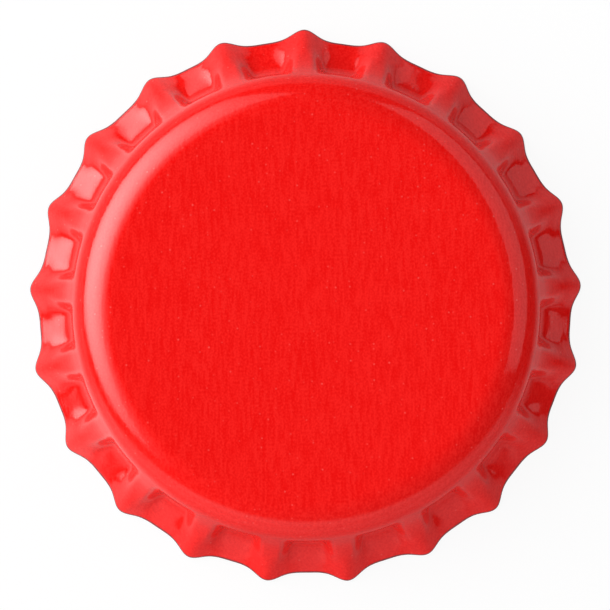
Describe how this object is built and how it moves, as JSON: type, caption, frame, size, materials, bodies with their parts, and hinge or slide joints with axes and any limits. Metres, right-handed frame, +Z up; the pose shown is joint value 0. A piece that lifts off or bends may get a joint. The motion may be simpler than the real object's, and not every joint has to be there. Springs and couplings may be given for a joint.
{
  "type": "bottle cap",
  "caption": "Round crown bottle cap of thin lacquered steel with a fluted skirt, new and uncrimped, with a moulded sealing liner inside.",
  "frame": {"origin": "on the cap's axis, in the plane that its hem stands on", "axes": "+Z up along the axis and out of the top panel, +Y through the crest of one flute"},
  "size_m": [0.0322, 0.0322, 0.006],
  "materials": {
    "lacquered_steel": "gloss red lacquer over fine-rolled tinplate",
    "liner_compound": "smooth moulded compound, slightly soft"
  },
  "bodies": {
    "root": {"crown_shell": "lacquered_steel", "sealing_liner": "liner_compound"}
  },
  "joints": []
}
